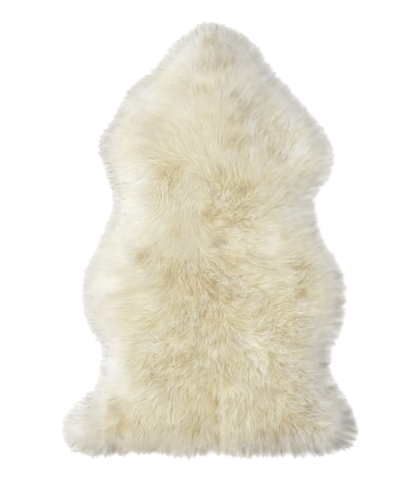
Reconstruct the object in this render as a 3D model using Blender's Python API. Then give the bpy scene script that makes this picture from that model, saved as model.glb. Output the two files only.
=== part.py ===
"""Sheepskin rug: one tanned skin with its long fleece, lying flat with the wool side up.

Units are metres and +Z is up. The neck points along +Y and the rump edge faces -Y. The origin is on
the ground under the middle of the rug. The solid is the envelope of the whole fleece: it reaches as
far out and as high as the wool does, and its underside is the flat flesh side that lies on the floor.
"""

import math

import bmesh
import bpy
from mathutils import Vector

MM = 0.001

# Driving dimensions.
LENGTH = 0.950  # rump edge to the tip of the neck
FLEECE_HEIGHT = 0.052  # depth of the wool away from the edges
ROLL_RADIUS = 0.066  # width of the rounded band along the edge
LIP_HEIGHT = 0.013  # height at which the wool reaches furthest out
UNDER_LIP = (  # from the lip down to the ground: (height, how far inside the lip)
    (0.005, 0.004),
    (0.0, 0.013),
)
RING_SHARES = (0.02, 0.055, 0.10, 0.16, 0.24, 0.36, 0.54, 0.76)  # from the lip in to the back line

# The outline by sections across the back line. All in millimetres: along is the distance from the
# rump edge, left and right are the half widths on either side of the back line.
SECTION_COLUMNS = ("along", "left", "right")
SECTIONS = (
    (0, 258, 240),  # rump edge
    (10, 287, 277),
    (35, 313, 313),
    (62, 321, 321),  # hind legs
    (88, 318, 313),
    (112, 296, 303),
    (140, 257, 289),
    (175, 243, 270),
    (210, 240, 260),  # hollow above the hind legs
    (242, 237, 269),
    (275, 254, 285),
    (322, 272, 292),
    (372, 275, 297),  # belly
    (425, 264, 279),
    (478, 238, 245),
    (530, 216, 231),
    (570, 208, 229),  # waist
    (608, 219, 254),
    (655, 236, 268),  # shoulders
    (690, 240, 259),
    (740, 212, 225),
    (800, 175, 178),
    (850, 125, 132),
    (895, 84, 101),
    (925, 52, 68),
    (942, 28, 36),
    (950, 9, 9),  # neck
)

# Between these two distances the rings run out at right angles to the back line. Past them they
# fan out from its ends.
BACK_START = 112
BACK_END = 866
BACK_STEPS = 40
RUMP_SIDE_STOPS = (88, 66, 48, 33, 20, 10, 3.5, 0)
RUMP_EDGE_STEPS = 22
NECK_SIDE_STOPS = (886, 904, 919, 932, 942, 948, 950)

# Long folds in the fleece, in millimetres. x runs to the right of the back line.
FOLD_COLUMNS = ("x_start", "along_start", "x_end", "along_end", "half_width", "rise")
FOLDS = (
    (23, 10, 14, 170, 20, -7.0),  # parting up from the rump edge
    (-28, 790, -30, 935, 24, 4.0),  # ridge along the neck
    (-212, 355, -108, 378, 22, -6.0),  # crease in the left flank
    (208, 372, 150, 300, 20, -5.0),  # crease in the right flank
    (-199, 50, -196, 128, 24, -6.0),  # crease above the left hind leg
)
# Soft lumps all over: (wave length along X, wave length along Y, phase, rise), in millimetres.
LUMPS = ((310, 233, 0.4, 1.6), (197, 171, 2.1, 1.2), (134, 151, 4.4, 0.8))

WOOL_COLOUR = (0.68, 0.62, 0.47, 1.0)
WOOL_ROUGHNESS = 0.85


def clear_scene():
    """Starts from an empty scene."""
    for old in list(bpy.data.objects):
        bpy.data.objects.remove(old, do_unlink=True)


def half_width(along, side):
    """The outline's half width in millimetres at one distance, on a smooth curve through the sections."""
    column = SECTION_COLUMNS.index(side)
    rows = [(row[0], row[column]) for row in SECTIONS]
    last = len(rows) - 1
    at = next(i for i in range(last) if along <= rows[i + 1][0])

    def slope(i):
        (x0, y0), (x1, y1) = rows[max(i - 1, 0)], rows[min(i + 1, last)]
        return (y1 - y0) / (x1 - x0)

    (x0, y0), (x1, y1) = rows[at], rows[at + 1]
    span = x1 - x0
    t = (along - x0) / span
    return (
        y0 * (2 * t**3 - 3 * t**2 + 1)
        + slope(at) * span * (t**3 - 2 * t**2 + t)
        + y1 * (3 * t**2 - 2 * t**3)
        + slope(at + 1) * span * (t**3 - t**2)
    )


def place(x, along):
    """A point in the ground plane, in metres, from millimetres across and along the back line."""
    return Vector((x * MM, along * MM - LENGTH / 2))


def outline():
    """Points round the lip with, for each, the step of the back line that its ring line runs to."""
    stations = [BACK_START + (BACK_END - BACK_START) * i / BACK_STEPS for i in range(BACK_STEPS + 1)]
    back = [place(0, along) for along in stations]
    points = []

    def add(x, along, step):
        points.append((place(x, along), step))

    for step, along in enumerate(stations):  # left side, towards the neck
        add(-half_width(along, "left"), along, step)
    for along in NECK_SIDE_STOPS:
        add(-half_width(along, "left"), along, BACK_STEPS)
    for along in reversed(NECK_SIDE_STOPS):
        add(half_width(along, "right"), along, BACK_STEPS)
    for step, along in reversed(list(enumerate(stations))):  # right side, back to the rump
        add(half_width(along, "right"), along, step)
    for along in RUMP_SIDE_STOPS:
        add(half_width(along, "right"), along, 0)
    rump_right, rump_left = half_width(0, "right"), half_width(0, "left")
    for i in range(1, RUMP_EDGE_STEPS):
        add(rump_right - (rump_right + rump_left) * i / RUMP_EDGE_STEPS, 0, 0)
    for along in reversed(RUMP_SIDE_STOPS):
        add(-half_width(along, "left"), along, 0)
    return points, back


def distance_to_stretch(point, start, end):
    """How far a point lies from a straight stretch."""
    way = end - start
    share = (point - start).dot(way) / way.length_squared
    return (point - start - way * min(max(share, 0.0), 1.0)).length


def distance_to_edge(point, lip):
    """How far a point of the ground plane lies from the outline."""
    return min(distance_to_stretch(point, lip[i - 1], lip[i]) for i in range(len(lip)))


def unevenness(point):
    """How much the fleece rises or sinks at a point, by its folds and soft lumps."""
    rise = 0.0
    for row in FOLDS:
        fold = dict(zip(FOLD_COLUMNS, row))
        start = place(fold["x_start"], fold["along_start"])
        end = place(fold["x_end"], fold["along_end"])
        share = distance_to_stretch(point, start, end) / (fold["half_width"] * MM)
        rise += fold["rise"] * MM * math.exp(-(share**2))
    for wave_x, wave_y, phase, height in LUMPS:
        turn_x = 2 * math.pi * point.x / (wave_x * MM)
        turn_y = 2 * math.pi * point.y / (wave_y * MM)
        rise += height * MM * math.sin(turn_x + phase) * math.cos(turn_y - phase)
    return rise


def top_height(point, lip):
    """The fleece's height over a point: a round roll along the edge and a soft plain inside it."""
    share = min(distance_to_edge(point, lip) / ROLL_RADIUS, 1.0)
    roll = math.sqrt(1 - (1 - share) ** 2)
    return LIP_HEIGHT + (FLEECE_HEIGHT - LIP_HEIGHT + unevenness(point)) * roll


def inside(point, centre, distance):
    """A point moved in towards its centre by a distance."""
    return point + (centre - point).normalized() * distance


def fleece_mesh():
    """The closed fleece body: base ring, lip ring, rings rising over the top and the back line."""
    points, back = outline()
    lip = [point for point, _ in points]
    centres = [back[step] for _, step in points]
    count = len(points)
    bm = bmesh.new()

    rings = []
    for height, inset in reversed(UNDER_LIP):
        flat = [inside(p, c, inset) for p, c in zip(lip, centres)]
        rings.append([bm.verts.new((p.x, p.y, height)) for p in flat])
    rings.append([bm.verts.new((p.x, p.y, LIP_HEIGHT)) for p in lip])
    for share in RING_SHARES:
        flat = [p.lerp(c, share) for p, c in zip(lip, centres)]
        rings.append([bm.verts.new((p.x, p.y, top_height(p, lip))) for p in flat])
    crest = [bm.verts.new((p.x, p.y, top_height(p, lip))) for p in back]

    for lower, upper in zip(rings, rings[1:]):
        for i in range(count):
            j = (i + 1) % count
            bm.faces.new((lower[j], lower[i], upper[i], upper[j]))
    for i in range(count):  # the last ring joins the back line, or its ends where it fans out
        j = (i + 1) % count
        near, far = crest[points[i][1]], crest[points[j][1]]
        corners = (rings[-1][j], rings[-1][i], near, far)
        bm.faces.new(corners if near is not far else corners[:3])
    bm.faces.new(rings[0])

    bmesh.ops.recalc_face_normals(bm, faces=bm.faces)
    mesh = bpy.data.meshes.new("sheepskin")
    bm.to_mesh(mesh)
    bm.free()
    return mesh


def wool_material():
    """Matt cream wool."""
    material = bpy.data.materials.new("wool")
    material.use_nodes = True
    shader = material.node_tree.nodes["Principled BSDF"]
    shader.inputs["Base Color"].default_value = WOOL_COLOUR
    shader.inputs["Roughness"].default_value = WOOL_ROUGHNESS
    shader.inputs["Metallic"].default_value = 0.0
    return material


def main():
    clear_scene()
    mesh = fleece_mesh()
    mesh.materials.append(wool_material())
    mesh.shade_smooth()
    sheepskin = bpy.data.objects.new("sheepskin", mesh)
    bpy.context.scene.collection.objects.link(sheepskin)


main()
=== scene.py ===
# %% [markdown]
# # A sheepskin rug
#
# The real rug is one tanned skin with its wool left on. It lies flat, wool side up, and is seen from
# straight above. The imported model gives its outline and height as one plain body. This lesson dresses
# that body: a thin leather skin underneath, a dense felt of underwool on it, and on top tens of
# thousands of combed, waving strands that gather in wisps and locks.

# %% Load the fixed frame
import math

import bmesh
import bpy
import numpy as np
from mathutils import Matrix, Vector
from mathutils.bvhtree import BVHTree


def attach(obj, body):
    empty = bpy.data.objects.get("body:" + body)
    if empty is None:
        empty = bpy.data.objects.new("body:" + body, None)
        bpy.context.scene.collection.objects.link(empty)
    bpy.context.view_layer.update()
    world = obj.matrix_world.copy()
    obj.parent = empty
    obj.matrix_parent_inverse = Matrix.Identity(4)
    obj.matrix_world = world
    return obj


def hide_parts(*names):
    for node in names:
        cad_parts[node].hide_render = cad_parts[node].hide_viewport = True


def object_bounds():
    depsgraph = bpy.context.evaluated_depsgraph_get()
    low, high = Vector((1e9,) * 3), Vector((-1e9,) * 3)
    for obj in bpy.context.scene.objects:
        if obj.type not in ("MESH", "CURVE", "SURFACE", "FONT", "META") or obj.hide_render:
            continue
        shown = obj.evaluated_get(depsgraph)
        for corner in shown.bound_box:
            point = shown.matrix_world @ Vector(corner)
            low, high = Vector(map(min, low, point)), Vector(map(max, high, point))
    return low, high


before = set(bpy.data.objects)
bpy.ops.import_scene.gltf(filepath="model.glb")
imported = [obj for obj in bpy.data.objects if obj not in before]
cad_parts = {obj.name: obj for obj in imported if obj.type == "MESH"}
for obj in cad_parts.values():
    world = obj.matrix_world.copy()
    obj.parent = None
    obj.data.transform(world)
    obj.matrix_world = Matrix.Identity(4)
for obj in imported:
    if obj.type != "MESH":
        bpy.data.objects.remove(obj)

MM = 0.001
cad_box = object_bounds()
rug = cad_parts["sheepskin"]
LENGTH = cad_box[1].y - cad_box[0].y
LIP_HEIGHT = 0.013  # the body is widest here, and its edge rolls over and under from here
FLEECE_HEIGHT = 0.052  # the body's plain, before it rises and sinks in folds
SAME_PLACE = 1e-5  # points closer together than this are merged
print("CAD box, mm:", [round(x / MM, 1) for corner in cad_box for x in corner])

# %% [markdown]
# ## Camera
#
# The photograph looks straight down from far away, so the outline isn't distorted. A long lens high
# above the floor does the same. The picture is 416 by 479 pixels, and the rug's length of 950 mm covers
# 435.5 of them, which gives the height of floor that the frame takes in.

# %% Camera
FRAME_PX = (416, 479)
RUG_LENGTH_PX = 435.5
RUG_MIDDLE_PX = (210.25, 240.25)
LENS_MM = 110.0
SENSOR_MM = 36.0

m_per_px = LENGTH / RUG_LENGTH_PX
seen_height = FRAME_PX[1] * m_per_px
camera_data = bpy.data.cameras.new("camera")
camera_data.lens = LENS_MM
camera_data.sensor_width = SENSOR_MM
camera = bpy.data.objects.new("camera", camera_data)
bpy.context.scene.collection.objects.link(camera)
camera.location = (
    (FRAME_PX[0] / 2 - RUG_MIDDLE_PX[0]) * m_per_px,
    (RUG_MIDDLE_PX[1] - FRAME_PX[1] / 2) * m_per_px,
    seen_height * LENS_MM / SENSOR_MM + LIP_HEIGHT,
)
bpy.context.scene.camera = camera
print("camera height, m:", round(camera.location.z, 3))

# %% [markdown]
# ## Light and floor
#
# The rug is lit like goods in a studio: a large soft lamp on the left is the main light, which leaves
# the right edge a little greyer, and a pale dome fills the shadows. The floor is plain and nearly white.
# A small lamp would draw a hard shadow beside each strand, and wool lit like that looks like wire.

# %% Light
WHITE = (1.0, 1.0, 1.0, 1.0)
# Columns: name, place and size in metres, power in watts, colour.
LAMPS = (
    ("key", (-1.9, 0.5, 1.9), 1.4, 32.0, (1.0, 0.997, 0.99)),
    ("fill", (1.0, -0.6, 2.8), 1.8, 14.0, (0.98, 0.99, 1.0)),
)
scene = bpy.context.scene
scene.view_settings.view_transform = "Standard"

world = bpy.data.worlds.new("studio")
scene.world = world
world.use_nodes = True
dome = world.node_tree.nodes["Background"]
dome.inputs["Color"].default_value = WHITE
dome.inputs["Strength"].default_value = 1.0


def softbox(name, place, size, power, colour):
    """A square soft lamp that faces the middle of the rug."""
    data = bpy.data.lights.new(name, "AREA")
    data.shape = "SQUARE"
    data.size = size
    data.energy = power
    data.color = colour
    lamp = bpy.data.objects.new(name, data)
    scene.collection.objects.link(lamp)
    lamp.location = place
    lamp.rotation_euler = (-Vector(place)).to_track_quat("-Z", "Y").to_euler()
    return lamp


for lamp_values in LAMPS:
    softbox(*lamp_values)
print("lamps:", len(LAMPS))

# %% Floor
FLOOR_SIZE = 14.0
FLOOR_GAP = 0.0003  # the floor lies this far under the rug, so that no two faces share a place
FLOOR_GREY = (0.93, 0.93, 0.93, 1.0)
FLOOR_GLOW = 0.15

bpy.ops.object.select_all(action="DESELECT")
bpy.ops.mesh.primitive_plane_add(size=FLOOR_SIZE, location=(0, 0, -FLOOR_GAP))
floor = bpy.context.object
floor.name = "floor"
floor_material = bpy.data.materials.new("floor_paint")
floor_material.use_nodes = True
floor_shader = floor_material.node_tree.nodes["Principled BSDF"]
floor_shader.inputs["Base Color"].default_value = FLOOR_GREY
floor_shader.inputs["Roughness"].default_value = 0.9
floor_shader.inputs["Specular IOR Level"].default_value = 0.1
floor_shader.inputs["Emission Color"].default_value = WHITE
floor_shader.inputs["Emission Strength"].default_value = FLOOR_GLOW
floor.data.materials.append(floor_material)
print("floor, m:", FLOOR_SIZE)

# %% [markdown]
# ## The outline
#
# Everything follows the skin's outline. The CAD body is widest at its lip, 13 mm above the floor, and
# the ring of points at that height is the outline. The imported mesh is loose triangles, so a copy is
# merged first, and the ring's edges are then walked in order.

# %% Read the outline
AT_LIP = 1e-4  # a point belongs to the ring if it lies this close to the lip's height
OUTLINE_POINTS = 560


def lip_outline(node):
    """The points of the widest ring, in order and anticlockwise seen from above."""
    bm = bmesh.new()
    bm.from_mesh(node.data)
    bmesh.ops.remove_doubles(bm, verts=bm.verts, dist=SAME_PLACE)
    near = {}
    for edge in bm.edges:
        a, b = edge.verts
        if max(abs(a.co.z - LIP_HEIGHT), abs(b.co.z - LIP_HEIGHT)) < AT_LIP:
            near.setdefault(a, []).append(b)
            near.setdefault(b, []).append(a)
    start = min(near, key=lambda v: v.co.y)
    ring, last = [start], None
    while True:
        step = next(v for v in near[ring[-1]] if v is not last)
        if step is start:
            break
        last = ring[-1]
        ring.append(step)
    points = np.array([(v.co.x, v.co.y) for v in ring])
    bm.free()
    ahead = np.roll(points, -1, 0)
    area = (points[:, 0] * ahead[:, 1] - ahead[:, 0] * points[:, 1]).sum() / 2
    return points if area > 0 else points[::-1]


def spaced_ring(ring, count):
    """The same closed line with points at even distances."""
    closed = np.vstack([ring, ring[:1]])
    along = np.concatenate([[0], np.cumsum(np.linalg.norm(np.diff(closed, axis=0), axis=1))])
    at = np.linspace(0, along[-1], count, endpoint=False)
    return np.stack([np.interp(at, along, closed[:, k]) for k in range(2)], 1), along[-1]


outline, girth = spaced_ring(lip_outline(rug), OUTLINE_POINTS)
print("outline:", len(outline), "points,", round(girth, 3), "m round")

# %% [markdown]
# ## How far in from the edge
#
# Wool near the edge points outwards and rolls down, and wool in the middle lies along the comb. So each
# strand has to know how far it is from the edge and which way the edge lies. Both are worked out once
# on a 3 mm grid and then read between the grid's points, as from a contour map.

# %% Distance map
GRID = 0.003  # the grid's spacing
MARGIN = 0.03  # the grid reaches this far past the outline


class Field:
    """Values on a grid over the rug, read smoothly between its points."""

    def __init__(self, low, values):
        self.low, self.values = low, values

    def __call__(self, xy):
        at = (xy - self.low) / GRID
        cell = np.clip(np.floor(at).astype(int), 0, np.array(self.values.shape[:2]) - 2)
        f = np.clip(at - cell, 0, 1)
        i, j = cell.T
        v = self.values
        fx, fy = (f[:, :1], f[:, 1:]) if v.ndim == 3 else (f[:, 0], f[:, 1])
        near = v[i, j] * (1 - fx) + v[i + 1, j] * fx
        far = v[i, j + 1] * (1 - fx) + v[i + 1, j + 1] * fx
        return near * (1 - fy) + far * fy


def unit(vectors):
    """The same directions with length 1."""
    return vectors / np.maximum(np.linalg.norm(vectors, axis=-1, keepdims=True), 1e-9)


def distance_fields(ring):
    """How far inside the outline each grid point lies, negative outside, and the way out."""
    low = ring.min(0) - MARGIN
    size = np.ceil((ring.max(0) + MARGIN - low) / GRID).astype(int) + 1
    x, y = (low[k] + GRID * np.arange(size[k]) for k in range(2))
    px, py = np.meshgrid(x, y, indexing="ij")
    nearest = np.full(px.shape, 9.0)
    inside = np.zeros(px.shape, bool)
    for (ax, ay), (bx, by) in zip(ring, np.roll(ring, -1, 0)):
        dx, dy = bx - ax, by - ay
        t = np.clip(((px - ax) * dx + (py - ay) * dy) / (dx * dx + dy * dy), 0, 1)
        nearest = np.minimum(nearest, (px - ax - t * dx) ** 2 + (py - ay - t * dy) ** 2)
        if ay != by:
            crosses = ((ay > py) != (by > py)) & (px < (py - ay) * dx / dy + ax)
            inside ^= crosses
    depth = np.sqrt(nearest) * np.where(inside, 1, -1)
    gx, gy = np.gradient(depth, GRID)
    return Field(low, depth), Field(low, unit(-np.stack([gx, gy], -1))), np.stack([px, py], -1)


depth_of, way_out, grid_xy = distance_fields(outline)
flat_grid = grid_xy.reshape(-1, 2)
rug_grid = flat_grid[depth_of.values.ravel() > 0]
print("grid points:", len(flat_grid), "of which on the rug:", len(rug_grid))
print("widest half, mm:", round(depth_of.values.max() / MM))

# %% [markdown]
# ## Seeded noise
#
# Wool is never even. Soft noise, the same on each run, varies its height, direction and colour. What
# noise can't know is where the photographed rug is curled, pale or yellow. That is written in short
# tables of round patches, each with a place in millimetres right of the back line and up from the rump.

# %% Noise
NOISE_CELLS = 200
rng = np.random.default_rng(7)


def smooth(t):
    """An S-curve from 0 to 1."""
    t = np.clip(t, 0, 1)
    return t * t * (3 - 2 * t)


def soft_noise(xy, cell, seed):
    """Smooth random values from -1 to 1 that change over about one cell, in metres."""
    values = np.random.default_rng(seed).uniform(-1, 1, (NOISE_CELLS, NOISE_CELLS))
    at = xy / cell + NOISE_CELLS // 2
    i = np.floor(at).astype(int)
    fx, fy = smooth(at - i).T
    a, b = np.clip(i, 0, NOISE_CELLS - 2).T
    near = values[a, b] * (1 - fx) + values[a + 1, b] * fx
    far = values[a, b + 1] * (1 - fx) + values[a + 1, b + 1] * fx
    return near * (1 - fy) + far * fy


def on_grid(values):
    """A field from values at the grid's points."""
    return Field(depth_of.low, values.reshape(*grid_xy.shape[:2], *values.shape[1:]))


def across_along(x, along):
    """A place on the rug in metres, from millimetres right of the back line and up from the rump."""
    return np.array([x * MM, along * MM - LENGTH / 2])


def patch_sum(xy, columns, table, name):
    """The sum of one column of a table of round patches, at each place. A patch fades out sideways."""
    total = np.zeros(len(xy))
    for row in table:
        patch = dict(zip(columns, row))
        off = xy - across_along(patch["x"], patch["along"])
        total += patch[name] * np.exp(-(off**2).sum(1) / (patch["radius"] * MM) ** 2)
    return total


print("spread of the noise:", soft_noise(rug_grid, 0.03, 11).std().round(2))

# %% [markdown]
# ## The fleece as rounded layers
#
# Cut across, the fleece is a flat plain with a round roll at each side: a quarter of an ellipse over the
# lip and a flatter one under it. Layers of the fleece are the same shape, larger or smaller. So a place
# in the fleece is given by where it is over the ground and by how high it lies above the felt, the
# dense layer that the strands lie on. How the plain rises and sinks in folds is read from the CAD body.
# Along the rump the felt stands a little further back, since the long tufts there need room.

# %% Layers
ROLL_CENTRE = 0.066  # how far in from the outline the roll's centre lies
FELT_RADIUS = 0.0530  # the felt's roll is this wide,
FELT_OVER = 0.0310  # this high over the lip
FELT_UNDER = 0.0150  # and this deep under it
HANGS_FROM = 0.70  # where the layer's normal rises less than this, the wool hangs free of it
KNOWN_ROLL = 0.55  # where the roll is lower than this share of the plain, no fold is read
ROLL_FADE = 0.3  # and over this share more, the folds grow to their full height
ABOVE_ALL = 0.2  # heights are read by looking down from here
# Where the felt stands back from the body's outline. back: mm.
BACK_COLUMNS = ("x", "along", "radius", "back")
BACKS = (
    (-235, 0, 40, 5), (-153, 0, 45, 8), (-90, 0, 35, 5), (-40, 0, 35, 3), (5, 0, 35, 6), (75, 0, 40, 6),
    (150, 0, 40, 6), (235, 0, 40, 6),
)
set_back = on_grid(MM * patch_sum(flat_grid, BACK_COLUMNS, BACKS, "back"))


def cad_heights():
    """The height of the CAD body's top at each grid point."""
    top = bmesh.new()
    top.from_mesh(rug.data)
    bmesh.ops.remove_doubles(top, verts=top.verts, dist=SAME_PLACE)
    tree = BVHTree.FromBMesh(top)
    down = Vector((0, 0, -1))
    inside = np.flatnonzero(depth_of.values.ravel() > 0)
    heights = np.zeros(len(flat_grid))
    for k in inside:
        hit = tree.ray_cast(Vector((*flat_grid[k], ABOVE_ALL)), down)[0]
        heights[k] = hit.z if hit else 0
    top.free()
    return heights


def fold_field():
    """How far the CAD body's plain lies above or below its usual height."""
    share = 1 - np.clip(depth_of.values.ravel() / ROLL_CENTRE, 0, 1)
    roll = np.sqrt(1 - share**2)
    known = roll > KNOWN_ROLL
    fold = (cad_heights() - LIP_HEIGHT) / np.maximum(roll, 0.01) - (FLEECE_HEIGHT - LIP_HEIGHT)
    return on_grid(np.where(known, fold, 0) * smooth((roll - KNOWN_ROLL) / ROLL_FADE))


fold_of = fold_field()


def layer(xy, z, above):
    """Moves places on to the layer that lies this far above the felt. Also gives the layer's normals."""
    out = way_out(xy)
    across = np.maximum(ROLL_CENTRE - depth_of(xy), 0)
    height = z - LIP_HEIGHT
    wide = FELT_RADIUS - set_back(xy) + above
    tall = np.where(height > 0, FELT_OVER + fold_of(xy), FELT_UNDER) + above
    size = np.maximum(np.hypot(across / wide, height / tall), 1e-6)
    normal = unit(np.column_stack([out * (across / wide**2)[:, None], height / tall**2]))
    size = np.where((normal[:, 2] < HANGS_FROM) & (size > 1), 1, size)
    moved = xy + out * (across / size - across)[:, None]
    return moved, LIP_HEIGHT + height / size, normal, out


print("folds, mm:", (fold_of.values.min() / MM).round(1), "to", (fold_of.values.max() / MM).round(1))

# %% [markdown]
# ## Curls
#
# In places the wool has kept its crimp: short S-shaped curls that turn this way and that. A table says
# where, and how strongly, and the curl fades out towards the edge. Elsewhere the wool is brushed nearly
# straight. A hair system with a curl setting could do this too, but one field of curl can steer the
# shape, the width and the colour of the strands at once.

# %% Curl patches
LEAST_CURL = 0.04
CURL_FADE = 40 * MM  # the curl fades out this far in from the edge
CURL_COLUMNS = ("x", "along", "radius", "strength")
CURLS = (
    (35, 575, 60, 0.65), (55, 510, 50, 0.6), (-95, 615, 42, 0.45), (100, 740, 55, 0.28),
    (140, 680, 55, 0.35), (60, 680, 50, 0.2), (0, 845, 28, 0.15), (-135, 442, 40, 0.4),
    (-60, 400, 60, 0.5), (20, 390, 65, 0.6), (95, 340, 65, 0.45), (-30, 310, 65, 0.45),
    (-115, 290, 50, 0.4), (-110, 200, 50, 0.5), (-50, 220, 65, 0.36), (30, 200, 65, 0.36),
    (110, 250, 65, 0.45), (180, 300, 55, 0.45), (190, 400, 50, 0.45), (180, 180, 65, 0.45),
    (100, 130, 65, 0.33), (20, 100, 60, 0.3), (-70, 110, 65, 0.31), (-165, 90, 50, 0.4),
    (205, 75, 55, 0.5), (120, 45, 55, 0.4), (-30, 35, 60, 0.25), (-60, 560, 60, 0.22),
    (-90, 670, 60, 0.16), (262, 60, 36, 0.22), (228, 130, 40, 0.25), (185, 690, 45, 0.26),
    (150, 590, 55, 0.26), (195, 550, 50, 0.32), (-240, 55, 45, 0.3),
)


def curl_of(xy):
    """How much the wool curls, from 0 to 1."""
    edge = np.exp(-((np.clip(depth_of(xy), 0, None) / CURL_FADE) ** 2))
    patches = patch_sum(xy, CURL_COLUMNS, CURLS, "strength")
    return np.clip(LEAST_CURL + patches, 0, 1) * (1 - 0.9 * edge)


print("mean curl:", curl_of(rug_grid).mean().round(2))

# %% [markdown]
# ## The comb
#
# Wool lies the way it was combed and the way it grew: outwards from a line along the back, up at the
# neck, down at the rump, with whorls in the middle. The table holds strokes of an imaginary comb, each
# a place and a heading. Between them the wool follows the strokes that are near, and close to the edge
# it points outwards. Where there is hardly any curl, well inside the edge, the wool is calm: it lies
# flat and plain, and the strands there are drawn broader and lit more evenly further on.

# %% Comb strokes
# Columns: x, mm right of the back line. along, mm up from the rump. heading, degrees, where 0 is right
# and 90 is towards the neck.
STROKES = (
    (-10, 890, 95), (-60, 870, 145), (60, 860, 55), (-110, 800, 170), (100, 800, 48), (-115, 860, 176),
    (-165, 800, 180), (0, 790, 88), (-170, 730, 178), (-80, 740, 125), (50, 730, 75), (150, 760, 48),
    (-215, 680, 180), (-120, 680, 160), (-30, 690, 100), (80, 680, 70), (170, 690, 45), (230, 660, 30),
    (-200, 600, 182), (-130, 600, 215), (-60, 600, 255), (10, 610, 95), (100, 610, 65), (190, 600, 28),
    (-195, 530, 178), (-120, 530, 240), (-50, 520, 262), (40, 550, 35), (90, 530, 20), (180, 520, 14),
    (-220, 450, 185), (-140, 440, 200), (-70, 450, 250), (20, 460, 340), (100, 460, 355), (200, 450, 22),
    (-240, 370, 180), (-160, 370, 190), (-80, 370, 235), (0, 370, 300), (90, 370, 32), (180, 380, 28),
    (260, 360, 10), (-230, 290, 182), (-150, 290, 205), (-70, 290, 245), (20, 290, 285), (100, 300, 30),
    (190, 290, 18), (255, 290, 4), (-210, 210, 182), (-130, 210, 215), (-50, 210, 250), (40, 210, 285),
    (110, 215, 305), (190, 210, 350), (-250, 120, 175), (-160, 130, 225), (-80, 120, 245), (0, 120, 268),
    (70, 120, 278), (150, 120, 300), (230, 128, 358), (250, 85, 352), (-290, 80, 195), (-285, 118, 155),
    (-240, 40, 250), (-150, 40, 262), (-60, 40, 255), (30, 40, 275), (120, 40, 268), (210, 40, 285),
    (290, 70, 350), (280, 22, 312),
)
STROKE_REACH = 38 * MM
EDGE_REACH = 30 * MM
CALM_CURL = 0.2  # wool that curls less than this is calm,
CALM_DEPTH = 24 * MM  # if it lies further in than this


def turned(vectors, angle):
    """Ground vectors turned by an angle each."""
    c, s = np.cos(angle), np.sin(angle)
    x, y = vectors.T
    return np.column_stack([x * c - y * s, x * s + y * c])


def comb_field():
    """The way the wool lies at each grid point: the strokes near it, some noise, and the way out."""
    total = np.zeros((len(flat_grid), 2))
    for x, along, heading in STROKES:
        off = flat_grid - across_along(x, along)
        weight = np.exp(-(off**2).sum(1) / (2 * STROKE_REACH**2)) + 1e-9
        turn = math.radians(heading)
        total += weight[:, None] * np.array([math.cos(turn), math.sin(turn)])
    edge = np.exp(-np.clip(depth_of(flat_grid), 0, None) / EDGE_REACH)
    stray = 0.55 * soft_noise(flat_grid, 0.055, 61) + 0.50 * soft_noise(flat_grid, 0.026, 62)
    stray *= 0.3 + 0.7 * np.minimum(2 * curl_of(flat_grid), 1)
    flow = turned(unit(total), stray * (1 - edge))
    edge = edge[:, None]
    return on_grid(unit(flow * (1 - 0.4 * edge) + way_out(flat_grid) * edge * 0.5))


comb = comb_field()


def calm_of(xy):
    """Where the wool lies flat and plain, well inside the edge, from 0 to 1."""
    return smooth(1 - curl_of(xy) / CALM_CURL) * smooth((depth_of(xy) - CALM_DEPTH) / CALM_DEPTH)


print("calm share of the rug:", calm_of(rug_grid).mean().round(2))

# %% [markdown]
# ## Colour of the wool
#
# Clean wool is cream. Where long fibres lie side by side, at the edge, it looks cool: nearly white on the
# lamp's side and grey on the other, and that light and shade is painted into its colour. In the middle,
# where the tips part, light comes back from deep down and is straw yellow. The first table gives the
# painted light and shade from the edge inwards.

# %% Painted light and shade near the edge
# depth: mm in from the outline. left, right and lower are added to the shade where the edge faces that
# way: painted light and shade on the left, the lamp's side, and painted shade on the right and along the
# rump. side_warmth and lower_warmth are added to the warmth: the painted cool sheen of fibres side-on.
EDGE_COLUMNS = ("depth", "left", "right", "lower", "side_warmth", "lower_warmth")
EDGE_PAINTED_LIGHT = (
    (-8, -0.13, -0.05, -0.10, -0.64, -0.60),
    (0, -0.07, 0.02, -0.03, -0.64, -0.54),
    (10, -0.07, -0.12, -0.19, -0.60, -0.44),
    (20, -0.05, -0.12, -0.25, -0.52, -0.35),
    (35, 0.01, -0.11, -0.20, -0.44, -0.23),
    (50, 0.07, -0.11, -0.14, -0.38, -0.16),
    (65, 0.09, -0.08, -0.10, -0.29, -0.06),
    (85, 0.05, -0.09, -0.05, -0.21, 0.00),
    (110, 0.04, -0.05, 0.00, -0.14, 0.00),
    (150, 0.00, 0.00, 0.00, 0.00, 0.00),
)


def softened(field, rounds):
    """The same field with every value mixed with its neighbours' a few times over."""
    values = field.values
    for _ in range(rounds):
        for axis in (0, 1):
            values = 0.5 * values + 0.25 * (np.roll(values, 1, axis) + np.roll(values, -1, axis))
    return Field(field.low, values)


def edge_painted_light():
    """The painted light and shade that the edge adds to the shade and to the warmth, as two fields."""
    depth, out = depth_of(flat_grid) / MM, way_out(flat_grid)
    rows = np.array(EDGE_PAINTED_LIGHT)
    column = {name: np.interp(depth, rows[:, 0], rows[:, k]) for k, name in enumerate(EDGE_COLUMNS)}
    down = np.clip(-out[:, 1], 0, 1) ** 2
    leftward = smooth(0.2 - 0.8 * out[:, 0])
    sides = leftward * column["left"] + (1 - leftward) * column["right"]
    shade = down * column["lower"] + (1 - down) * sides
    warmth = down * column["lower_warmth"] + (1 - down) * column["side_warmth"]
    return softened(on_grid(shade), 6), softened(on_grid(warmth), 6)


edge_painted_shade, edge_painted_warmth = edge_painted_light()
print("the edge adds to the shade at the outline:", edge_painted_shade(outline).mean().round(3))
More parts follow.
